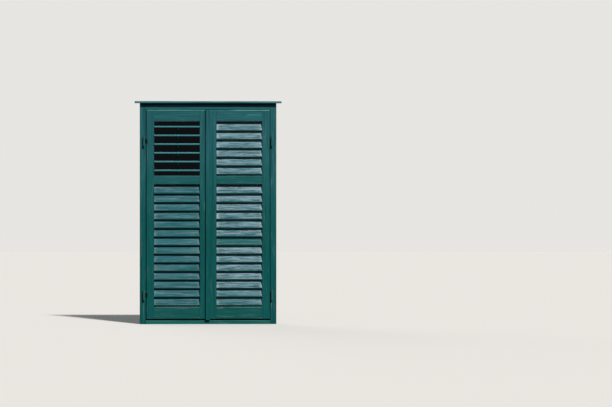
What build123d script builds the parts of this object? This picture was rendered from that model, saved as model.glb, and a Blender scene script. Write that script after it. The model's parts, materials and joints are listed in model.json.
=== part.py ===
from build123d import *
import math
import os

# A pair of louvred wooden window shutters in their outer frame, closed, for an opening in a wall.
# Millimetres. X runs to the right as seen from outside, Y runs inward, Z runs up.
# The origin is at the middle of the bottom edge of the frame's back face.

# Outer frame
frame_width = 884.0
frame_height = 1430.0
frame_depth = 56.0
recess_depth = 28.0
jamb_face = 40.0
head_face = 42.0
sill_face = 24.0
sill_fall = 2.5
stop_width = 14.0
frame_tenon_length = 24.0
frame_tenon_thickness = 14.0
frame_tenon_shoulder = 6.0
fixing_hole_radius = 3.5
fixing_inset = 200.0
edge_ease = 1.5

# Drip cap on top of the frame
cap_side_overhang = 33.0
cap_front_overhang = 30.0
cap_thickness = 11.0
cap_fall = 3.0
drip_groove_width = 6.0
drip_groove_depth = 4.0
drip_groove_inset = 8.0

# Leaves
leaf_thickness = 40.0
leaf_proud = 8.0
stop_gap = 2.0
edge_gap = 2.0
top_gap = 2.0
bottom_gap = 10.0
meeting_gap = 2.0
meeting_bevel = 3.0
hinge_stile_width = 50.0
meeting_stile_width = 54.0
top_rail_height = 74.0
leaf_top_bevel = 4.0
mid_rail_height = 54.0
mid_rail_bottom = 905.0
bottom_rail_height = 76.0
tenon_length = 32.0
tenon_thickness = 13.0
tenon_shoulder = 12.0

# Cover strip on the right leaf, over the joint between the leaves
strip_width = 30.0
strip_thickness = 12.0
strip_overlap = 17.0
strip_bevel = 3.0
strip_drop = 8.0
strip_relief = 0.6

# Slats
upper_slat_count = 6
lower_slat_count = 14
end_slat_distance = 35.0
slat_width = 60.0
slat_thickness = 10.0
slat_ease = 2.5
slat_side_gap = 1.0
pivot_radius = 3.0
pivot_length = 9.0
pivot_clearance = 0.08
pivot_hole_spare = 1.0
widest_tilt = 75.0
field_tilt = {"left_upper": 2.0, "left_lower": 66.0, "right_upper": 63.0, "right_lower": 63.0}

# Tilt rods and the lugs that join them to the slats
rod_width = 9.0
rod_depth = 7.0
rod_end = 12.0
rod_chamfer = 1.5
rod_leaf_clearance = 0.8
link_pin_radius = 2.0
link_pin_clearance = 0.08
link_pin_spare = 1.0
link_beyond_slat = 6.0
lug_thickness = 4.0
lug_side_gap = 0.5
lug_wall = 2.4
lug_root_length = 10.0
lug_root_bite = 1.0
lug_notch_reach = 2.0
lug_notch_depth = 5.0

# Hinges: a barrel in two halves, each with a stud screwed into the wood
hinge_height = 66.0
hinge_radius = 7.0
hinge_gap = 0.4
hinge_beyond_leaf = 14.0
hinge_proud = 10.0
hinge_pin_radius = 4.0
hinge_pin_clearance = 0.08
hinge_pin_length = 27.0
stud_radius = 3.5
stud_bite = 35.0
leaf_stud_angle = 45.0
upper_hinge_inset = 200.0
lower_hinge_inset = 156.0

# Pivots, link pins and studs are small and many, so they are drawn with few sides
small_sides = 6

# Planes and lines that follow from the sizes above
frame_front = -frame_depth
leaf_front = frame_front - leaf_proud
leaf_back = leaf_front + leaf_thickness
leaf_middle = (leaf_front + leaf_back) / 2
stop_front = leaf_back + stop_gap
jamb_inner = frame_width / 2 - jamb_face
head_bottom = frame_height - head_face
leaf_edge = jamb_inner - edge_gap
leaf_bottom = sill_face + bottom_gap
leaf_top = head_bottom - top_gap
opening_outer = leaf_edge - hinge_stile_width
opening_inner = meeting_stile_width
opening_width = opening_outer - opening_inner
field_middle = (opening_outer + opening_inner) / 2
lower_opening = (leaf_bottom + bottom_rail_height, mid_rail_bottom)
upper_opening = (mid_rail_bottom + mid_rail_height, leaf_top - top_rail_height)
hinge_x = leaf_edge + hinge_beyond_leaf
hinge_y = leaf_front - hinge_proud
upper_hinge_z = leaf_top - upper_hinge_inset
lower_hinge_z = leaf_bottom + lower_hinge_inset
link_reach = slat_width / 2 + link_beyond_slat
closed_rod_y = leaf_thickness / 2 + rod_leaf_clearance + rod_depth / 2
link_drop = ((closed_rod_y - link_reach * math.cos(math.radians(widest_tilt)))
             / math.sin(math.radians(widest_tilt)))
rails = {"top": (upper_opening[1], leaf_top),
         "mid": (lower_opening[1], upper_opening[0]),
         "bottom": (leaf_bottom, lower_opening[0])}


def block(x_range, y_range, z_range):
    """A box between two values on each axis, given in either order."""
    low = [min(pair) for pair in (x_range, y_range, z_range)]
    high = [max(pair) for pair in (x_range, y_range, z_range)]
    size = [b - a for a, b in zip(low, high)]
    return Pos(*low) * Box(*size, align=(Align.MIN, Align.MIN, Align.MIN))


def rod_between(start, end, radius):
    """A cylinder from one point to another."""
    axis = Vector(*end) - Vector(*start)
    return extrude(Plane(origin=start, z_dir=axis) * Circle(radius), axis.length)


def peg(start, end, radius):
    """A small rod drawn with few sides, whose corners lie on its radius."""
    axis = Vector(*end) - Vector(*start)
    return extrude(Plane(origin=start, z_dir=axis) * RegularPolygon(radius, small_sides), axis.length)


def peg_hole(start, end, radius, clearance):
    """The hole in which such a rod turns: its flats clear the rod's corners."""
    return peg(start, end, (radius + clearance) / math.cos(math.pi / small_sides))


def eased(points, corners, size=edge_ease):
    """An outline with some of its corners cut off."""
    outline = []
    for i, point in enumerate(points):
        if point not in corners:
            outline.append(point)
            continue
        corner = Vector(*point)
        for other in (points[i - 1], points[(i + 1) % len(points)]):
            cut = corner + (Vector(*other) - corner).normalized() * size
            outline.append((cut.X, cut.Y))
    return outline


def prism(points, plane, length):
    """A closed outline drawn in a plane and pulled out."""
    return extrude(plane * make_face(Polyline(*points, close=True)), length)


def pivots(opening, count):
    """Heights of the slat pivots in one louvred field, from the top slat down."""
    pitch = (opening[1] - opening[0] - 2 * end_slat_distance) / (count - 1)
    return [opening[1] - end_slat_distance - i * pitch for i in range(count)]


fields = {"upper": pivots(upper_opening, upper_slat_count),
          "lower": pivots(lower_opening, lower_slat_count)}


def frame_tenon(side, z_range):
    """Tenon of the head or the sill in a jamb, set in the middle of the part before the stop."""
    middle = (frame_front + stop_front) / 2
    half = frame_tenon_thickness / 2
    low, high = z_range[0] + frame_tenon_shoulder, z_range[1] - frame_tenon_shoulder
    return block((side * jamb_inner, side * (jamb_inner + frame_tenon_length)),
                 (middle - half, middle + half), (low, high))


def jamb(side):
    """Upright of the frame: an L section with its stop behind the leaf."""
    inner, outer = side * jamb_inner, side * frame_width / 2
    section = [(inner, frame_front), (outer, frame_front), (outer, 0), (inner, 0)]
    body = prism(eased(section, section[:2]), Plane.XY, frame_height)
    body += block((side * (jamb_inner - stop_width), side * jamb_inner),
                  (stop_front, 0), (sill_face, head_bottom))
    body -= frame_tenon(side, (head_bottom, frame_height))
    body -= frame_tenon(side, (0, sill_face - sill_fall))
    for z in (fixing_inset, frame_height - fixing_inset):
        body -= rod_between((side * (jamb_inner - stop_width - edge_gap), stop_front / 2, z),
                            (side * (frame_width / 2 + edge_gap), stop_front / 2, z),
                            fixing_hole_radius)
    for z in (lower_hinge_z, upper_hinge_z):
        body -= pintle_stud(side, z)
    return body


def head():
    """Top member of the frame, between the jambs, with its stop below."""
    section = [(frame_front, head_bottom), (0, head_bottom), (0, frame_height),
               (frame_front, frame_height)]
    body = prism(eased(section, section[:1]), Plane.YZ.offset(-jamb_inner), 2 * jamb_inner)
    body += block((stop_width - jamb_inner, jamb_inner - stop_width),
                  (stop_front, 0), (head_bottom - stop_width, head_bottom))
    for side in (-1, 1):
        body += frame_tenon(side, (head_bottom, frame_height))
    return body


def sill():
    """Bottom member of the frame: its top falls to the front, before the stop."""
    section = [(frame_front, 0), (0, 0), (0, sill_face), (stop_front, sill_face),
               (frame_front, sill_face - sill_fall)]
    body = prism(eased(section, section[-1:]), Plane.YZ.offset(-jamb_inner), 2 * jamb_inner)
    body += block((stop_width - jamb_inner, jamb_inner - stop_width),
                  (stop_front, 0), (sill_face, sill_face + stop_width))
    for side in (-1, 1):
        body += frame_tenon(side, (0, sill_face - sill_fall))
    return body


def drip_cap():
    """Board on the frame, outside the wall, with a falling top and a groove under its front edge."""
    front = frame_front - cap_front_overhang
    top = frame_height + cap_thickness
    groove_front = front + drip_groove_inset
    section = [(front, frame_height), (groove_front, frame_height),
               (groove_front, frame_height + drip_groove_depth),
               (groove_front + drip_groove_width, frame_height + drip_groove_depth),
               (groove_front + drip_groove_width, frame_height), (-recess_depth, frame_height),
               (-recess_depth, top + cap_fall), (front, top)]
    half_length = frame_width / 2 + cap_side_overhang
    return prism(eased(section, section[-1:]), Plane.YZ.offset(-half_length), 2 * half_length)


def pintle_stud(side, z):
    """Stud of the frame's half of a hinge, square into the jamb."""
    x = side * hinge_x
    middle = z - hinge_height / 4
    return peg((x, hinge_y + hinge_pin_radius, middle), (x, frame_front + stud_bite, middle),
               stud_radius)


def pintle(side, z):
    """Frame's half of a hinge: lower barrel, its pin and its stud."""
    x = side * hinge_x
    low, high = z - hinge_height / 2, z - hinge_gap / 2
    barrel = rod_between((x, hinge_y, low), (x, hinge_y, high), hinge_radius)
    barrel += rod_between((x, hinge_y, high), (x, hinge_y, high + hinge_pin_length), hinge_pin_radius)
    return barrel + pintle_stud(side, z)


def knuckle_stud(side, z):
    """Stud of the leaf's half of a hinge, slanting into the edge of the stile."""
    run = Vector(-side * math.cos(math.radians(leaf_stud_angle)),
                 math.sin(math.radians(leaf_stud_angle)), 0)
    axis = Vector(side * hinge_x, hinge_y, z + hinge_height / 4)
    into_wood = hinge_beyond_leaf / math.cos(math.radians(leaf_stud_angle)) + stud_bite
    start = axis + run * ((hinge_pin_radius + hinge_radius) / 2)
    return peg(tuple(start), tuple(axis + run * into_wood), stud_radius)


def knuckle(side, z):
    """Leaf's half of a hinge: upper barrel, bored from below for the pin, and its stud."""
    x = side * hinge_x
    low, high = z + hinge_gap / 2, z + hinge_height / 2
    barrel = rod_between((x, hinge_y, low), (x, hinge_y, high), hinge_radius)
    barrel += knuckle_stud(side, z)
    bore_top = z - hinge_gap / 2 + hinge_pin_length + hinge_gap
    return barrel - rod_between((x, hinge_y, low), (x, hinge_y, bore_top),
                                hinge_pin_radius + hinge_pin_clearance)


def top_wedge():
    """What the bevel along the top front edge of both leaves cuts away."""
    size = leaf_top_bevel
    points = [(leaf_front - size, leaf_top - 2 * size), (leaf_front - size, leaf_top + size),
              (leaf_front + 2 * size, leaf_top + size)]
    return prism(points, Plane.YZ.offset(-leaf_edge), 2 * leaf_edge)


def rail_tenon(side, level, at_hinge):
    """Tenon of a rail in one of its two stiles."""
    low, high = rails[level]
    if at_hinge:
        x_range = (side * opening_outer, side * (opening_outer + tenon_length))
    else:
        x_range = (side * opening_inner, side * (opening_inner - tenon_length))
    return block(x_range, (leaf_middle - tenon_thickness / 2, leaf_middle + tenon_thickness / 2),
                 (low + tenon_shoulder, high - tenon_shoulder))


def rail(side, level):
    """Cross member of a leaf, with its front edges eased and a tenon at each end."""
    low, high = rails[level]
    section = [(leaf_front, low), (leaf_front, high), (leaf_back, high), (leaf_back, low)]
    start = Plane.YZ.offset(min(side * opening_inner, side * opening_outer))
    body = prism(eased(section, section[:2]), start, opening_width) - top_wedge()
    return body + rail_tenon(side, level, True) + rail_tenon(side, level, False)


def pivot_holes(side, at_hinge):
    """Blind holes in one stile for the pivots of every slat of its leaf."""
    face = opening_outer if at_hinge else opening_inner
    inward = 1 if at_hinge else -1
    depth = pivot_length - slat_side_gap + pivot_hole_spare
    heights = fields["upper"] + fields["lower"]
    return [peg_hole((side * face, leaf_middle, z), (side * (face + inward * depth), leaf_middle, z),
                     pivot_radius, pivot_clearance) for z in heights]


def stile(section, side, at_hinge):
    """Upright of a leaf from its section, with mortises for the rails and holes for the slats."""
    body = prism(eased(section, section[:2]), Plane.XY.offset(leaf_bottom), leaf_top - leaf_bottom)
    cuts = [rail_tenon(side, level, at_hinge) for level in rails] + pivot_holes(side, at_hinge)
    return body - cuts - top_wedge()


def hinge_stile(side):
    """Stile on the hinge side, drilled for the studs of its two knuckles."""
    section = [(side * opening_outer, leaf_front), (side * leaf_edge, leaf_front),
               (side * leaf_edge, leaf_back), (side * opening_outer, leaf_back)]
    return stile(section, side, True) - [knuckle_stud(side, z) for z in (lower_hinge_z, upper_hinge_z)]


def meeting_stile(side):
    """Stile where the leaves meet, its edge bevelled so that its back corner clears as it swings."""
    front_edge = meeting_gap / 2
    section = [(side * opening_inner, leaf_front), (side * front_edge, leaf_front),
               (side * (front_edge + meeting_bevel), leaf_back), (side * opening_inner, leaf_back)]
    return stile(section, side, False)


def meeting_strip():
    """Cover strip fixed to the right leaf; its free half stands just clear of the left leaf."""
    back, front = leaf_front, leaf_front - strip_thickness
    left, right = -strip_overlap, strip_width - strip_overlap
    seat = meeting_gap / 2 + edge_ease
    points = [(seat, back), (right, back), (right, front + strip_bevel), (right - strip_bevel, front),
              (left + strip_bevel, front), (left, front + strip_bevel), (left, back - strip_relief),
              (seat, back - strip_relief)]
    return prism(points, Plane.XY.offset(leaf_bottom - strip_drop),
                 leaf_top - leaf_bottom + strip_drop)


def link_point(z, tilt):
    """Centre of the pin that joins a slat to its rod, in Y and Z, at one tilt of the slat."""
    angle = math.radians(tilt)
    y = link_reach * math.cos(angle) + link_drop * math.sin(angle)
    rise = link_reach * math.sin(angle) - link_drop * math.cos(angle)
    return leaf_middle + y, z + rise


def slat(side, z, tilt):
    """One slat: flat with eased edges, a pivot at each end and a lug for the rod."""
    half_width, half_thickness = slat_width / 2, slat_thickness / 2
    section = [(-half_width, half_thickness), (half_width, half_thickness),
               (half_width, -half_thickness), (-half_width, -half_thickness)]
    section = eased(section, section, slat_ease)
    half_length = opening_width / 2 - slat_side_gap
    body = prism(section, Plane.YZ.offset(-half_length), 2 * half_length)
    for end in (-1, 1):
        body += peg((end * half_length, 0, 0), (end * (half_length + pivot_length), 0, 0), pivot_radius)
    body += slat_lug(half_width - slat_ease)
    return Pos(side * field_middle, leaf_middle, z) * Rot(tilt, 0, 0) * body


def slat_lug(flat):
    """Lug under the inner edge of a slat, beside the rod, with a hole for the rod's pin.

    It is notched above, so that the lug of the top slat clears the rail behind when it closes.
    """
    root = lug_root_bite - slat_thickness / 2
    bottom = -link_drop - link_pin_radius - lug_wall
    end = link_reach + link_pin_radius + lug_wall
    shoulder = link_pin_radius + lug_wall / 2
    notch = (flat + lug_notch_reach, -slat_thickness / 2 - lug_notch_depth)
    points = [(flat - lug_root_length, root), (flat, root), notch,
              (end, -link_drop + shoulder), (end, -link_drop - shoulder / 2),
              (link_reach + shoulder / 2, bottom), (link_reach - shoulder, bottom)]
    start = rod_width / 2 + lug_side_gap
    lug = prism(points, Plane.YZ.offset(start), lug_thickness)
    return lug - peg_hole((start - lug_side_gap, link_reach, -link_drop),
                          (start + lug_thickness + lug_side_gap, link_reach, -link_drop),
                          link_pin_radius, link_pin_clearance)


def tilt_rod(side, heights, tilt):
    """Upright rod behind one field, with a cross pin in the lug of every slat."""
    x = side * field_middle
    top_y, top_z = link_point(heights[0], tilt)
    bottom_z = link_point(heights[-1], tilt)[1]
    body = block((x - rod_width / 2, x + rod_width / 2),
                 (top_y - rod_depth / 2, top_y + rod_depth / 2), (bottom_z - rod_end, top_z + rod_end))
    ends = body.edges().filter_by(Axis.X)
    body = chamfer(ends, rod_chamfer)
    reach = rod_width / 2 + lug_side_gap + lug_thickness + link_pin_spare
    pins = [peg((x, top_y, link_point(z, tilt)[1]), (x + reach, top_y, link_point(z, tilt)[1]),
                link_pin_radius) for z in heights]
    return body + pins


def whole(shape):
    """The single solid of a shape made of one piece."""
    return shape.solids()[0]


def leaf_nodes(name, side):
    """Every node of one leaf apart from the strip."""
    nodes = {f"{name}_hinge_stile": [hinge_stile(side)],
             f"{name}_meeting_stile": [meeting_stile(side)],
             f"{name}_rails": [rail(side, level) for level in rails],
             f"{name}_hinge_knuckles": [knuckle(side, z) for z in (lower_hinge_z, upper_hinge_z)]}
    for field, heights in fields.items():
        tilt = field_tilt[f"{name}_{field}"]
        for number, z in enumerate(heights, start=1):
            nodes[f"{name}_{field}_slat_{number}"] = [slat(side, z, tilt)]
        nodes[f"{name}_{field}_tilt_rod"] = [tilt_rod(side, heights, tilt)]
    return nodes


def frame_nodes():
    """Every node that stays on the wall."""
    pintles = [pintle(side, z) for side in (-1, 1) for z in (lower_hinge_z, upper_hinge_z)]
    return {"frame_head": [head()], "frame_sill": [sill()], "left_jamb": [jamb(-1)],
            "right_jamb": [jamb(1)], "drip_cap": [drip_cap()], "hinge_pintles": pintles}


def main():
    os.makedirs("parts", exist_ok=True)
    nodes = frame_nodes() | leaf_nodes("left", -1) | leaf_nodes("right", 1)
    nodes["right_meeting_strip"] = [meeting_strip()]
    for name, shapes in nodes.items():
        solids = [whole(shape) for shape in shapes]
        export_step(solids[0] if len(solids) == 1 else Compound(solids), f"parts/{name}.step")


main()
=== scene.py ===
import json
import math

import bpy
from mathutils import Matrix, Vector

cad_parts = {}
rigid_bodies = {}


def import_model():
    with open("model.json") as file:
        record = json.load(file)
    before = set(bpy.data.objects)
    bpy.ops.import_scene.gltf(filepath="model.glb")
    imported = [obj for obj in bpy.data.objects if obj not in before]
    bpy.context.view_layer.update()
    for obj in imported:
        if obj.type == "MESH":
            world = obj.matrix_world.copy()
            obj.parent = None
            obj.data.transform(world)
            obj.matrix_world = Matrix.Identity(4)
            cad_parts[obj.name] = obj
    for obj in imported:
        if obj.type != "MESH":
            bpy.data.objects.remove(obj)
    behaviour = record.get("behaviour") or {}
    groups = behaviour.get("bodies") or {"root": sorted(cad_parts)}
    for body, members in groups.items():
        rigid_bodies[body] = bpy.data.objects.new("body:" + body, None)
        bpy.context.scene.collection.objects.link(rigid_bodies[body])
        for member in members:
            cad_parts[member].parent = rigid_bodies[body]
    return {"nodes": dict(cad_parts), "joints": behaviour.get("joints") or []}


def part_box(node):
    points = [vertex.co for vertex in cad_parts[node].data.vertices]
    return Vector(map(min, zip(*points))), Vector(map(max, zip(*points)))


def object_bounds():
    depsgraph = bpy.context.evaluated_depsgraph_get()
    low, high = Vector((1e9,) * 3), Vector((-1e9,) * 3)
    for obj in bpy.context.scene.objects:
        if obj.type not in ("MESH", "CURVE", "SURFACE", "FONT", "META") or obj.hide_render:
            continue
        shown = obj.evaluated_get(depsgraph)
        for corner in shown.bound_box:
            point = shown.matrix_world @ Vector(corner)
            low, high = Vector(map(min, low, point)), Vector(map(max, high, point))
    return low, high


# A pair of louvred wooden window shutters in their outer frame, painted a deep teal green.
# Metres. X runs to the right as seen from outside, Y runs inward, Z runs up.

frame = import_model()
cad_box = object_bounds()
nodes = frame["nodes"]

# Width of the dark line beside the cover strip, in which its shadow is painted
STRIP_LINE = 0.003

# Lines and levels of the object, read from the CAD
left_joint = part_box("left_hinge_stile")[0].x
strip_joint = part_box("right_meeting_strip")[0].x - STRIP_LINE / 2
knuckles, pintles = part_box("left_hinge_knuckles"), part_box("hinge_pintles")
hinge_levels = (knuckles[0].z, knuckles[1].z - (knuckles[0].z - pintles[0].z))
frame_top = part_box("left_jamb")[1].z

# Paint, as sRGB values from 0 to 255
TEAL = (11, 89, 88)
TEAL_HIGH = (40, 103, 110)
TEAL_DEEP = (4, 58, 58)
RAIL_TEAL = (22, 92, 90)
CAP_TEAL = (68, 126, 138)
SILL_TEAL = (20, 106, 100)
SLAT_SOFT = (26, 95, 105)
SLAT_MILD = (38, 105, 117)
SLAT_CHALK = (70, 115, 127)
# Painted sheen of the chalky slats
SLAT_SHEEN = (114, 155, 168)
SLAT_LOW = (46, 104, 114)
# Painted sheen of the less chalky slats
SLAT_LOW_SHEEN = (80, 132, 142)
SLAT_FRESH = (30, 90, 92)
SLAT_DARK = (26, 74, 77)
SLAT_STREAK = (164, 186, 202)
# Unchalked teal of the closed slats' nose, painted darker as shade
NOSE_SHADED_TEAL = (22, 78, 72)
# Painted highlight on the lit nose of the open slats
NOSE_HIGHLIGHT = (62, 134, 142)
# Worn paint in the scratches, and the painted highlight on eased edges that look up
WORN_AND_LIT_TEAL = (104, 160, 158)
CHALK = (140, 172, 182)
BARE_WOOD = (120, 108, 92)
# Grime in the hinges' hollows, and the painted shade on eased edges that look sideways
GRIME_AND_SHADE = (12, 30, 32)
# Painted shade under the cap, beside the joints and round the hinge studs
JOINT_SHADE = (3, 14, 16)
RUST = (70, 48, 38)
HINGE_TEAL = (34, 94, 88)

# The middle value of a noise
NOISE_MIDDLE = 0.5

# Even noise: its scale for a metre, its detail and its roughness
CLOUDS = (5.0, 3, 0.6)
CHIP_SHAPES = (60.0, 5, 0.7)
WOOD_SPECKLE = (420.0, 2, 0.7)
SLAT_SPECKLE = (380.0, 2, 0.7)
RUST_SPOTS = (240.0, 4, 0.65)

# Noise drawn out along the grain: its features' length and width, its detail, roughness and warp
BRUSH_MARKS = (0.30, 0.0035, 4, 0.6, 0.0)
WOOD_GRAIN = (0.12, 0.0016, 3, 0.55, 0.4)
WOOD_STREAKS = (0.16, 0.007, 4, 0.62, 0.0)
BOARD_TONES = (0.45, 0.009, 3, 0.65, 0.0)
SLAT_STREAKS = (0.20, 0.0045, 4, 0.62, 0.0)
SLAT_LINES = (0.15, 0.0062, 5, 0.7, 0.15)
SLAT_GRAIN = (0.07, 0.0012, 3, 0.6, 0.3)
SLAT_PATCHES = (0.09, 0.018, 4, 0.6, 0.0)
SLAT_FLAKES = (0.060, 0.0065, 4, 0.65, 0.3)

# How far a material's seed shifts its noise on each axis
WOOD_SHIFT = (1.0, 1.7, 0.6)
SLAT_SHIFT = (1.0, 1.3, 0.4)
LINE_SHIFT = (2.1, 1.0, 0.7)
FLAKE_SHIFT = (0.9, 1.9, 1.1)
RUST_SHIFT = (3.0, 1.0, 2.0)

# Layers on the wood's paint: the noise at which a layer starts, at which it is full, and its strength.
# How strong the chalking is depends on the piece.
DARK_BOARDS = (0.46, 0.60, 0.42)
DARK_BRUSHING = (0.35, 0.72, 0.24)
WOOD_SPECKS = (0.60, 0.80, 0.10)
WOOD_CHIPS = (0.715, 0.735, 0.7)
WOOD_CHALKING = (0.56, 0.78)

# Where the wood's paint turns from its lower to its higher colour, and how far clouds move that level
FADE = (0.55, 1.25)
FADE_CLOUDING = 0.7

# Faces of the wood, by their normal: those of eased edges, and those that look up, sideways and outward.
# Eased edges that look up get a painted highlight where the clouds let them, and those that look sideways
# get painted shade.
EASED = (1.12, 1.3)
LOOKS_UP = (0.2, 0.6)
LOOKS_SIDEWAYS = (0.3, 0.6)
LOOKS_OUT = (0.3, 0.8)
HIGHLIGHT_CLOUDS = (0.28, 0.56)
EDGE_SHADE = 0.45

# Painted shade at the front's joints: how far from its line it ends, how far out it is full, and its
# strength
CAP_SHADE = (0.008, 0.005, 0.85)
LEAF_SHADOW = (0.0050, 0.0022, 0.65)
STRIP_SHADOW = (0.0045, 0.0022, 0.6)
HINGE_SHADE_WIDTH = (0.0095, 0.0055)
HINGE_SHADE_HEIGHT = (0.022, 0.010)
CAP_SHADE_DROP = 0.006
HINGE_SHADE_DROP = 0.004

# How far the seeds of a leaf's rails and rods are from the leaf's own
RAIL_SEED_STEP = 0.5
ROD_SEED_STEP = 0.8

# Scratches on the right leaf's top rail: where each starts and ends, and its height
SCRATCHES = ((0.258, 0.352, 1.3535), (0.268, 0.330, 1.3400), (0.245, 0.262, 1.3465))
SCRATCH_WIDTH = (0.0032, 0.0006, 0.8)
SCRATCH_BRUSHING = (0.36, 0.62)
SCRATCH_START = 0.004
SCRATCH_FADE = 0.010

# Layers on the slats' paint, as above. The streaks and flakes are as strong as the slats are chalky, and
# the flaking is how many times as strong. The tones are how much darker one slat may be than another.
DARK_LINES = (0.50, 0.61, 0.95)
DARK_GRAIN = (0.55, 0.80, 0.35)
SLAT_SPECKS = (0.60, 0.80, 0.14)
PALE_STREAKS = (0.47, 0.62)
PALE_FLAKES = (0.56, 0.66)
DARK_FLAKES = (0.47, 0.38)
PALE_FLAKING = 0.7
DARK_FLAKING = 1.3
SLAT_TONES = 0.35

# Parts of a slat, in pitches below its pivot: the painted sheen, which fades downward and shows in some
# patches of the noise, the upper strip in the shadow of the slat above, which gets painted shade, and the
# nose. The nose also counts by how squarely a face looks along the slat.
SHEEN = (0.35, -0.35)
SHEEN_PATCHES = (0.2, 0.6)
SHADOWED_STRIP = (-0.36, -0.42, 0.9)
NOSE_PART = (0.365, 0.395)
NOSE_FACE = (0.4, 0.6)

# Worn ends of the slats: how far from their middle, the patches of the noise in which the wear shows, and
# how many times as strong as the slats are chalky
WORN_END = (0.122, 0.154)
WORN_PATCHES = (0.3, 0.7)
WORN_CHALKING = 1.8

# Tilt of the slats at rest, in degrees from level
LEFT_UPPER_TILT = 2.0
LEFT_LOWER_TILT = 66.0
RIGHT_TILT = 63.0

# The slats of each field: the colours of the ground, its painted sheen, its dark parts, which also give the
# painted shade under the slat above, and the nose, how chalky they are, and their tilt
FIELDS = {
    "left_upper": ((SLAT_MILD, SLAT_MILD, SLAT_SOFT, NOSE_HIGHLIGHT), 0.25, LEFT_UPPER_TILT),
    "left_lower": ((SLAT_SOFT, SLAT_MILD, SLAT_DARK, NOSE_SHADED_TEAL), 0.2, LEFT_LOWER_TILT),
    "right_upper": ((SLAT_CHALK, SLAT_SHEEN, SLAT_DARK, NOSE_SHADED_TEAL), 0.5, RIGHT_TILT),
    "right_lower": ((SLAT_CHALK, SLAT_SHEEN, SLAT_DARK, NOSE_SHADED_TEAL), 0.55, RIGHT_TILT)}
FIRST_FIELD_SEED = 5.0

# Slats of the lower right field that look unlike the others: one painted afresh and two less chalky
FRESH_SLATS = (7,)
FRESH_LOOK = ((SLAT_FRESH, SLAT_SOFT, TEAL, NOSE_SHADED_TEAL), 0.15, RIGHT_TILT)
FRESH_SEED = 11.0
MILD_SLATS = (13, 14)
MILD_LOOK = ((SLAT_LOW, SLAT_LOW_SHEEN, SLAT_DARK, NOSE_SHADED_TEAL), 0.4, RIGHT_TILT)
MILD_SEED = 12.0

# Steel of the hinges: its lumps as scale, detail, roughness, warp and shift, and its layers as above
METAL_LUMPS = ((160.0, 160.0, 90.0), 3, 0.6, 0.0, (0.0, 0.0, 0.0))
HOLLOW_GRIME = (0.45, 0.75, 0.7)
RUST_SPECKS = (0.66, 0.70, 0.7)

# Roughness of a paint: the least, and how much a noise adds to it. Wood and slats take that noise between
# the limits of the rough parts. Last, how much the paints shine.
WOOD_ROUGHNESS = (0.46, 0.26)
SLAT_ROUGHNESS = (0.42, 0.22)
METAL_ROUGHNESS = (0.42, 0.25)
ROUGH_PARTS = (0.3, 0.8)
PAINT_SPECULAR = 0.06
METAL_SPECULAR = 0.2

# Relief: how far a noise lifts the surface, and its strength
CLOUD_RELIEF = (0.004, 0.25)
GRAIN_RELIEF = (0.0007, 0.55)
BRUSH_RELIEF = (0.0006, 0.5)
SPECK_RELIEF = (0.0002, 0.3)
PATCH_RELIEF = (0.0012, 0.35)
STREAK_RELIEF = (0.0006, 0.5)
SLAT_RELIEF = (0.0005, 0.5)
LUMP_RELIEF = (0.0006, 0.5)
RUST_RELIEF = (0.0003, 0.4)

# The photograph's frame and view
IMAGE_WIDTH = 612
METRES_PER_PIXEL = 0.0065
LOOK_AT = (0.636, 0.0, 0.780)
CAMERA_DISTANCE = 20.0
SENSOR_WIDTH = 36.0
CLIP_END = 200.0

# Sun: how far left and down a shadow falls, for each metre that a thing stands off the surface behind it
SHADOW_LEFT = 0.38
SHADOW_DOWN = 0.87
SUN_STRENGTH = 3.5
SUN_SOFTNESS = 4.0
SUN_COLOUR = (1.0, 0.97, 0.93)
BACK_STRENGTH = 1.1
BACK_SOFTNESS = 40.0
BACK_DIRECTION = (0.45, -1.0, -0.2)

# Surround and floor. What they show is pale, and what they give off as light is weak.
BACKDROP = (0.80, 0.785, 0.76)
FILL_COLOUR = (0.86, 0.94, 1.0)
FILL_STRENGTH = 0.14
FLOOR_COLOUR = (0.92, 0.905, 0.88)
FLOOR_BOUNCE = 0.10
FLOOR_ROUGHNESS = 0.9
FLOOR_SIZE = 60.0
FLOOR_GAP = 0.001

# The painted shade of the unlit room: its colour, how far behind the frame it stands and how far inside its
# edge it ends
ROOM_SHADE = (0.0045, 0.0052, 0.0060)
ROOM_BEHIND = 0.002
ROOM_INSIDE = 0.010


def linear(colour):
    """An sRGB colour as the linear colour that the shaders take."""
    def channel(value):
        value /= 255
        return value / 12.92 if value <= 0.04045 else ((value + 0.055) / 1.055) ** 2.4
    return (*[channel(v) for v in colour], 1.0)


def join(tree, source, target):
    """Links an output to an input, or sets the input where the source is a plain value."""
    if hasattr(source, "links"):
        tree.links.new(source, target)
    else:
        target.default_value = source


def calculate(tree, operation, a, b=0.0, clamp=False):
    """The result of a math node."""
    node = tree.nodes.new("ShaderNodeMath")
    node.operation = operation
    node.use_clamp = clamp
    join(tree, a, node.inputs[0])
    join(tree, b, node.inputs[1])
    return node.outputs[0]


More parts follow.
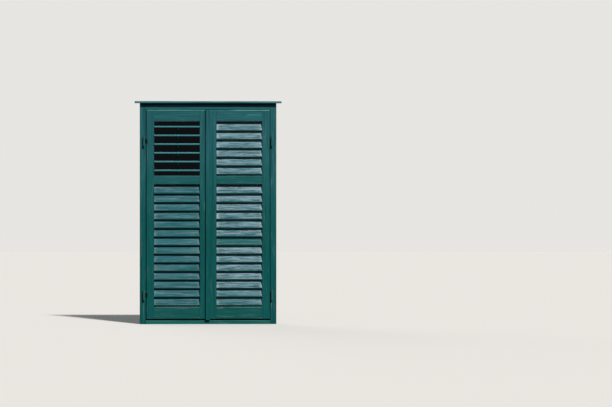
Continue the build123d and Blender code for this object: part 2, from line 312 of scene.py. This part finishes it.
class Graph:
    """A material's nodes, made and linked by short calls."""

    def __init__(self, name):
        self.material = bpy.data.materials.new(name)
        self.material.use_nodes = True
        self.tree = self.material.node_tree
        self.shader = self.tree.nodes["Principled BSDF"]
        coordinates = self.tree.nodes.new("ShaderNodeTexCoord")
        self.place = coordinates.outputs["Object"]
        self.facing = coordinates.outputs["Normal"]

    def link(self, source, target):
        join(self.tree, source, target)

    def add(self, a, b):
        return calculate(self.tree, "ADD", a, b)

    def subtract(self, a, b):
        return calculate(self.tree, "SUBTRACT", a, b)

    def times(self, a, b):
        return calculate(self.tree, "MULTIPLY", a, b)

    def larger(self, a, b):
        return calculate(self.tree, "MAXIMUM", a, b)

    def absolute(self, value):
        return calculate(self.tree, "ABSOLUTE", value)

    def axis(self, letter, vector=None):
        node = self.tree.nodes.new("ShaderNodeSeparateXYZ")
        self.link(vector or self.place, node.inputs[0])
        return node.outputs[letter]

    def noise(self, scale, detail, roughness, warp, offset):
        """Noise whose features are one over scale metres long on each axis."""
        mapping = self.tree.nodes.new("ShaderNodeMapping")
        self.link(self.place, mapping.inputs["Vector"])
        mapping.inputs["Scale"].default_value = scale
        mapping.inputs["Location"].default_value = offset
        node = self.tree.nodes.new("ShaderNodeTexNoise")
        self.link(mapping.outputs[0], node.inputs["Vector"])
        node.inputs["Scale"].default_value = 1.0
        node.inputs["Detail"].default_value = detail
        node.inputs["Roughness"].default_value = roughness
        node.inputs["Distortion"].default_value = warp
        return node.outputs["Fac"]

    def even(self, pattern, offset):
        """Noise with features of the same size on every axis."""
        scale, detail, roughness = pattern
        return self.noise((scale, scale, scale), detail, roughness, 0.0, offset)

    def grained(self, pattern, grain, offset):
        """Noise with features drawn out along one axis."""
        length, width, detail, roughness, warp = pattern
        scale = [1 / length if letter == grain else 1 / width for letter in "XYZ"]
        return self.noise(scale, detail, roughness, warp, offset)

    def ramp(self, value, low, high):
        """0 up to low, 1 from high on, and smooth between them. Low may be the larger of the two."""
        node = self.tree.nodes.new("ShaderNodeMapRange")
        node.interpolation_type = "SMOOTHSTEP"
        self.link(value, node.inputs["Value"])
        node.inputs["From Min"].default_value = low
        node.inputs["From Max"].default_value = high
        return node.outputs[0]

    def near(self, value, centre, outer, inner):
        """1 for a value within inner of the centre, and 0 for one beyond outer."""
        return self.ramp(self.absolute(self.subtract(value, centre)), outer, inner)

    def facing_along(self, direction):
        """How squarely a face looks along a direction in the object: 1 when it does, 0 across it."""
        node = self.tree.nodes.new("ShaderNodeVectorMath")
        node.operation = "DOT_PRODUCT"
        self.link(self.facing, node.inputs[0])
        node.inputs[1].default_value = direction
        return node.outputs["Value"]

    def arris(self):
        """1 on the narrow slanting faces of the eased edges, 0 on the broad faces."""
        spread = 0.0
        for letter in "XYZ":
            spread = self.add(spread, self.absolute(self.axis(letter, self.facing)))
        return self.ramp(spread, *EASED)

    def mix(self, amount, a, b):
        node = self.tree.nodes.new("ShaderNodeMix")
        node.data_type = "RGBA"
        self.link(amount, node.inputs["Factor"])
        self.link(a, node.inputs["A"])
        self.link(b, node.inputs["B"])
        return node.outputs["Result"]

    def cover(self, colour, amount, over):
        """A colour with another one over it, as far as the amount says."""
        return self.mix(amount, colour, linear(over))

    def layer(self, colour, noise, starts, full, strength, over):
        """A colour with another one over it where a noise is high enough."""
        return self.cover(colour, self.times(self.ramp(noise, starts, full), strength), over)

    def relief(self, *lifts):
        """Bumps laid on one another, each given as a noise and how far and how strongly it lifts."""
        normal = None
        for noise, (distance, strength) in lifts:
            node = self.tree.nodes.new("ShaderNodeBump")
            self.link(noise, node.inputs["Height"])
            node.inputs["Distance"].default_value = distance
            node.inputs["Strength"].default_value = strength
            if normal is not None:
                self.link(normal, node.inputs["Normal"])
            normal = node.outputs["Normal"]
        return normal

    def finish(self, colour, noise, roughness, normal, specular=PAINT_SPECULAR):
        least, more = roughness
        self.link(colour, self.shader.inputs["Base Color"])
        self.link(self.add(least, self.times(noise, more)), self.shader.inputs["Roughness"])
        self.link(normal, self.shader.inputs["Normal"])
        self.shader.inputs["Specular IOR Level"].default_value = specular
        return self.material


def shifted(seed, steps):
    """A seed's shift of the noise on each axis."""
    return tuple(seed * step for step in steps)


def edge_highlight_and_shade(g, colour, clouds, highlight_strength):
    """A painted highlight on eased edges that look up, and painted shade on those that look sideways."""
    upward = g.ramp(g.axis("Z", g.facing), *LOOKS_UP)
    # Painted highlight on eased edges that look up
    lit_edges = g.times(g.times(g.arris(), upward), g.ramp(clouds, *HIGHLIGHT_CLOUDS))
    colour = g.cover(colour, g.times(lit_edges, highlight_strength), WORN_AND_LIT_TEAL)
    # Painted shade on eased edges that look sideways
    sideways = g.times(g.arris(), g.ramp(g.absolute(g.axis("X", g.facing)), *LOOKS_SIDEWAYS))
    return g.cover(colour, g.times(sideways, EDGE_SHADE), GRIME_AND_SHADE)


def painted_joint_shade(g, colour, grain):
    """Painted shade on the faces that look outward, where shadow falls: under the cap, and on uprights
    beside joints and hinges.
    """
    def line(value, centre, limits):
        outer, inner, strength = limits
        return g.times(g.near(value, centre, outer, inner), strength)

    x, z = g.axis("X"), g.axis("Z")
    # Painted shade under the cap
    shaded = line(z, frame_top - CAP_SHADE_DROP, CAP_SHADE)
    if grain == "Z":
        # Painted shadow beside the left leaf and the cover strip, and painted shade round the left hinge
        # studs
        shaded = g.larger(shaded, line(x, left_joint, LEAF_SHADOW))
        shaded = g.larger(shaded, line(x, strip_joint, STRIP_SHADOW))
        for level in hinge_levels:
            wide = g.near(x, left_joint, *HINGE_SHADE_WIDTH)
            high = g.near(z, level - HINGE_SHADE_DROP, *HINGE_SHADE_HEIGHT)
            shaded = g.larger(shaded, g.times(wide, high))
    outward = g.ramp(g.facing_along((0.0, -1.0, 0.0)), *LOOKS_OUT)
    return g.cover(colour, g.times(shaded, outward), JOINT_SHADE)


def scratched(g, colour, brush, scratches):
    """Level scratches down to worn paint, broken up by the brush marks."""
    outer, inner, strength = SCRATCH_WIDTH
    for start, end, level in scratches:
        from_start = g.ramp(g.axis("X"), start - SCRATCH_START, start)
        to_end = g.ramp(g.axis("X"), end, end - SCRATCH_FADE)
        mark = g.times(g.times(from_start, to_end), g.near(g.axis("Z"), level, outer, inner))
        mark = g.times(mark, g.ramp(brush, *SCRATCH_BRUSHING))
        colour = g.cover(colour, g.times(mark, strength), WORN_AND_LIT_TEAL)
    return colour


def painted_wood(name, grain, base, high, wear, seed, highlight_strength=0.85, scratches=()):
    """Brushed paint on wood: another colour high up, cloudy, with brush marks and grain along one axis,
    chalky streaks, fine chalking, small chips, a painted highlight on upper edges and painted shade on
    sideways edges and in the joints."""
    g = Graph(name)
    shift = shifted(seed, WOOD_SHIFT)
    clouds = g.even(CLOUDS, shift)
    speckle = g.even(WOOD_SPECKLE, shift)
    brush = g.grained(BRUSH_MARKS, grain, shift)
    streaks = g.grained(WOOD_STREAKS, grain, shift)

    height = g.add(g.axis("Z"), g.times(g.subtract(clouds, NOISE_MIDDLE), FADE_CLOUDING))
    colour = g.mix(g.ramp(height, *FADE), linear(base), linear(high))
    colour = g.layer(colour, g.grained(BOARD_TONES, grain, shift), *DARK_BOARDS, TEAL_DEEP)
    colour = g.layer(colour, brush, *DARK_BRUSHING, TEAL_DEEP)
    colour = g.layer(colour, streaks, *WOOD_CHALKING, wear, CHALK)
    colour = g.layer(colour, speckle, *WOOD_SPECKS, CHALK)
    colour = g.layer(colour, g.even(CHIP_SHAPES, shift), *WOOD_CHIPS, BARE_WOOD)
    colour = edge_highlight_and_shade(g, colour, clouds, highlight_strength)
    colour = painted_joint_shade(g, colour, grain)
    colour = scratched(g, colour, brush, scratches)

    grain_lines = g.grained(WOOD_GRAIN, grain, shift)
    normal = g.relief((clouds, CLOUD_RELIEF), (grain_lines, GRAIN_RELIEF), (brush, BRUSH_RELIEF),
                      (speckle, SPECK_RELIEF))
    return g.finish(colour, g.ramp(streaks, *ROUGH_PARTS), WOOD_ROUGHNESS, normal)


def slat_tone(g, number, seed):
    """A slat's own share of the dark colour, from its number."""
    tone = g.tree.nodes.new("ShaderNodeTexWhiteNoise")
    tone.noise_dimensions = "1D"
    g.link(g.add(number, seed), tone.inputs["W"])
    return g.times(tone.outputs["Value"], SLAT_TONES)


def slat_paint(name, look, place, seed):
    """Weathered paint of one field of slats: a painted sheen above, streaked along the grain, painted shade
    under the slat above, and teal on the nose.

    The look is a row of FIELDS. The place is the top slat's height, the pitch of the slats and how far
    their middle is from the joint between the leaves.
    """
    (base, sheen_colour, shade, nose), chalk, tilt = look
    top, pitch, middle = place
    g = Graph(name)
    shift = shifted(seed, SLAT_SHIFT)
    step = calculate(g.tree, "DIVIDE", g.subtract(top, g.axis("Z")), pitch)
    number = calculate(g.tree, "ROUND", step)
    across = g.subtract(step, number)
    streaks = g.grained(SLAT_STREAKS, "X", shift)
    fine = g.grained(SLAT_GRAIN, "X", shift)
    patches = g.grained(SLAT_PATCHES, "X", shift)
    flakes = g.grained(SLAT_FLAKES, "X", shifted(seed, FLAKE_SHIFT))

    colour = g.mix(slat_tone(g, number, seed), linear(base), linear(shade))
    # Painted sheen, lightest near the top of each slat and fading downward
    colour = g.cover(colour, g.times(g.ramp(across, *SHEEN), g.ramp(patches, *SHEEN_PATCHES)), sheen_colour)
    colour = g.layer(colour, g.grained(SLAT_LINES, "X", shifted(seed, LINE_SHIFT)), *DARK_LINES, shade)
    colour = g.layer(colour, streaks, *PALE_STREAKS, chalk, SLAT_STREAK)
    colour = g.layer(colour, flakes, *PALE_FLAKES, PALE_FLAKING * chalk, SLAT_STREAK)
    colour = g.layer(colour, flakes, *DARK_FLAKES, DARK_FLAKING * chalk, shade)
    colour = g.layer(colour, fine, *DARK_GRAIN, shade)
    colour = g.layer(colour, g.even(SLAT_SPECKLE, shift), *SLAT_SPECKS, CHALK)
    off_middle = g.absolute(g.subtract(g.absolute(g.axis("X")), middle))
    worn_end = g.times(g.ramp(off_middle, *WORN_END), g.ramp(patches, *WORN_PATCHES))
    colour = g.cover(colour, g.times(worn_end, WORN_CHALKING * chalk), SLAT_STREAK)
    # Painted shade on the strip in the shadow of the slat above
    colour = g.layer(colour, across, *SHADOWED_STRIP, shade)
    # The nose in its own colour: painted shade on closed slats, a painted highlight on the open ones
    front = (0.0, -math.cos(math.radians(tilt)), -math.sin(math.radians(tilt)))
    edge = g.larger(g.ramp(g.facing_along(front), *NOSE_FACE), g.ramp(across, *NOSE_PART))
    colour = g.cover(colour, edge, nose)

    normal = g.relief((patches, PATCH_RELIEF), (streaks, STREAK_RELIEF), (fine, SLAT_RELIEF))
    return g.finish(colour, g.ramp(patches, *ROUGH_PARTS), SLAT_ROUGHNESS, normal)


def painted_metal(name, base):
    """Brush-painted steel with grime in the hollows and specks of rust."""
    g = Graph(name)
    lumps = g.noise(*METAL_LUMPS)
    spots = g.even(RUST_SPOTS, RUST_SHIFT)
    colour = g.layer(linear(base), lumps, *HOLLOW_GRIME, GRIME_AND_SHADE)
    colour = g.layer(colour, spots, *RUST_SPECKS, RUST)
    normal = g.relief((lumps, LUMP_RELIEF), (spots, RUST_RELIEF))
    return g.finish(colour, lumps, METAL_ROUGHNESS, normal, METAL_SPECULAR)


def dress(name, material):
    """Gives one CAD node its material, in place of any other."""
    nodes[name].data.materials.clear()
    nodes[name].data.materials.append(material)


def dress_frame():
    upright = painted_wood("frame_upright_paint", "Z", TEAL, TEAL_HIGH, wear=0.35, seed=1.0)
    level = painted_wood("frame_level_paint", "X", RAIL_TEAL, TEAL_HIGH, wear=0.35, seed=2.0)
    sill = painted_wood("sill_paint", "X", SILL_TEAL, TEAL_HIGH, wear=0.3, seed=3.0)
    cap = painted_wood("cap_paint", "X", CAP_TEAL, CAP_TEAL, wear=0.35, seed=4.0)
    dress("left_jamb", upright)
    dress("right_jamb", upright)
    dress("frame_head", level)
    dress("frame_sill", sill)
    dress("drip_cap", cap)
    dress("hinge_pintles", painted_metal("pintle_paint", HINGE_TEAL))


def dress_leaf(name, seed, highlight_strength, scratches=()):
    upright = painted_wood(f"{name}_stile_paint", "Z", TEAL, TEAL_HIGH, wear=0.3, seed=seed, highlight_strength=highlight_strength)
    level = painted_wood(f"{name}_rail_paint", "X", RAIL_TEAL, TEAL_HIGH, wear=0.35,
                         seed=seed + RAIL_SEED_STEP, highlight_strength=highlight_strength, scratches=scratches)
    rod = painted_wood(f"{name}_rod_paint", "Z", TEAL, TEAL_DEEP, wear=0.15, seed=seed + ROD_SEED_STEP)
    dress(f"{name}_hinge_stile", upright)
    dress(f"{name}_meeting_stile", upright)
    dress(f"{name}_rails", level)
    dress(f"{name}_hinge_knuckles", painted_metal(f"{name}_knuckle_paint", HINGE_TEAL))
    dress(f"{name}_upper_tilt_rod", rod)
    dress(f"{name}_lower_tilt_rod", rod)


def field_heights(name, field):
    """Pivot heights of the slats of one field, from the top one down."""
    heights = []
    for joint in frame["joints"]:
        if joint["parent"] == f"{name}_leaf" and joint["child"].startswith(f"{name}_{field}_slat"):
            heights.append(joint["pos_m"][2])
    return sorted(heights, reverse=True)


def dress_slats():
    low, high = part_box("right_upper_slat_1")
    middle = (low.x + high.x) / 2
    for order, (field, look) in enumerate(FIELDS.items()):
        heights = field_heights(*field.split("_"))
        pitch = (heights[0] - heights[-1]) / (len(heights) - 1)
        place = (heights[0], pitch, middle)
        paint = slat_paint(f"{field}_slat_paint", look, place, FIRST_FIELD_SEED + order)
        for number in range(1, len(heights) + 1):
            dress(f"{field}_slat_{number}", paint)
    fresh = slat_paint("fresh_slat_paint", FRESH_LOOK, place, FRESH_SEED)
    mild = slat_paint("mild_slat_paint", MILD_LOOK, place, MILD_SEED)
    for number in FRESH_SLATS:
        dress(f"right_lower_slat_{number}", fresh)
    for number in MILD_SLATS:
        dress(f"right_lower_slat_{number}", mild)


def background_seen(tree):
    """1 for rays that show the background, straight or by gloss or glass, and 0 for those of light."""
    path = tree.nodes.new("ShaderNodeLightPath")
    seen = path.outputs["Is Camera Ray"]
    for kind in ("Is Glossy Ray", "Is Transmission Ray"):
        seen = calculate(tree, "MAXIMUM", seen, path.outputs[kind])
    return seen


def show_mixed(tree, amount, first, second, output):
    """Ends a tree in its first shader where the amount is 0 and in its second where it is 1."""
    mix = tree.nodes.new("ShaderNodeMixShader")
    out = tree.nodes.new(output)
    tree.links.new(amount, mix.inputs["Fac"])
    tree.links.new(first.outputs[0], mix.inputs[1])
    tree.links.new(second.outputs[0], mix.inputs[2])
    tree.links.new(mix.outputs[0], out.inputs["Surface"])


def make_sheet(name, corners, material):
    """A flat face for the stage, from its four corners."""
    mesh = bpy.data.meshes.new(name)
    mesh.from_pydata(corners, [], [(0, 1, 2, 3)])
    mesh.materials.append(material)
    sheet = bpy.data.objects.new(name, mesh)
    bpy.context.scene.collection.objects.link(sheet)
    return sheet


def make_floor():
    """A plain pale floor."""
    g = Graph("floor")
    bounce = (FLOOR_BOUNCE, FLOOR_BOUNCE, FLOOR_BOUNCE, 1.0)
    colour = g.mix(background_seen(g.tree), bounce, (*FLOOR_COLOUR, 1.0))
    g.link(colour, g.shader.inputs["Base Color"])
    g.shader.inputs["Roughness"].default_value = FLOOR_ROUGHNESS
    g.shader.inputs["Specular IOR Level"].default_value = 0.0
    half = FLOOR_SIZE / 2
    z = cad_box[0].z - FLOOR_GAP
    corners = [(-half, -half, z), (half, -half, z), (half, half, z), (-half, half, z)]
    floor = make_sheet("floor", corners, g.material)


def dark_room_material():
    """Dark to the camera on the front of a face, and clear from behind and for all light."""
    material = bpy.data.materials.new("dark_room")
    material.use_nodes = True
    tree = material.node_tree
    tree.nodes.clear()
    path = tree.nodes.new("ShaderNodeLightPath")
    side = tree.nodes.new("ShaderNodeNewGeometry")
    clear = tree.nodes.new("ShaderNodeBsdfTransparent")
    dark = tree.nodes.new("ShaderNodeEmission")
    # Painted shade of the unlit room
    dark.inputs["Color"].default_value = (*ROOM_SHADE, 1.0)
    seen, behind = path.outputs["Is Camera Ray"], side.outputs["Backfacing"]
    front = calculate(tree, "SUBTRACT", seen, behind, clamp=True)
    show_mixed(tree, front, clear, dark, "ShaderNodeOutputMaterial")
    return material


def make_dark_room():
    """A sheet of painted shade for the unlit room, as it shows between the slats from outside. From inside
    it isn't seen.
    """
    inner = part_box("right_jamb")[1].x - ROOM_INSIDE
    bottom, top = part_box("right_jamb")[0].z + ROOM_INSIDE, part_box("right_jamb")[1].z - ROOM_INSIDE
    y = cad_box[1].y + ROOM_BEHIND
    corners = [(-inner, y, bottom), (inner, y, bottom), (inner, y, top), (-inner, y, top)]
    room = make_sheet("dark_room", corners, dark_room_material())


def make_sun(name, strength, softness, direction):
    data = bpy.data.lights.new(name, "SUN")
    data.energy = strength
    data.angle = math.radians(softness)
    data.color = SUN_COLOUR
    sun = bpy.data.objects.new(name, data)
    bpy.context.scene.collection.objects.link(sun)
    sun.rotation_mode = "QUATERNION"
    sun.rotation_quaternion = Vector(direction).to_track_quat("-Z", "Y")


def make_surround():
    """An even surround, pale where it is seen and weak as light."""
    world = bpy.data.worlds.new("surround")
    bpy.context.scene.world = world
    world.use_nodes = True
    tree = world.node_tree
    tree.nodes.clear()
    pale = tree.nodes.new("ShaderNodeBackground")
    pale.inputs["Color"].default_value = (*BACKDROP, 1.0)
    fill = tree.nodes.new("ShaderNodeBackground")
    fill.inputs["Color"].default_value = (*FILL_COLOUR, 1.0)
    fill.inputs["Strength"].default_value = FILL_STRENGTH
    show_mixed(tree, background_seen(tree), fill, pale, "ShaderNodeOutputWorld")


def make_light():
    """A soft sun from the upper right, a weak one from behind and the surround."""
    make_sun("key", SUN_STRENGTH, SUN_SOFTNESS, (-SHADOW_LEFT, 1.0, -SHADOW_DOWN))
    make_sun("back", BACK_STRENGTH, BACK_SOFTNESS, BACK_DIRECTION)
    make_surround()


def make_camera():
    """Square on to the shutters from far away, with the shutters left of the middle as in the photograph."""
    data = bpy.data.cameras.new("camera")
    data.sensor_width = SENSOR_WIDTH
    data.clip_end = CLIP_END
    camera = bpy.data.objects.new("camera", data)
    bpy.context.scene.collection.objects.link(camera)
    camera.location = (0.0, -CAMERA_DISTANCE, LOOK_AT[2])
    view = Vector(LOOK_AT) - camera.location
    width = IMAGE_WIDTH * METRES_PER_PIXEL
    data.lens = SENSOR_WIDTH * view.length / width
    camera.rotation_mode = "QUATERNION"
    camera.rotation_quaternion = view.to_track_quat("-Z", "Y")
    bpy.context.scene.camera = camera


dress_frame()
dress_leaf("left", seed=6.0, highlight_strength=0.75)
dress_leaf("right", seed=7.0, highlight_strength=1.0, scratches=SCRATCHES)
dress("right_meeting_strip", painted_wood("strip_paint", "Z", TEAL, TEAL_HIGH, wear=0.2, seed=8.0))
dress_slats()
make_floor()
make_dark_room()
make_light()
make_camera()
bpy.context.scene.view_settings.view_transform = "Standard"
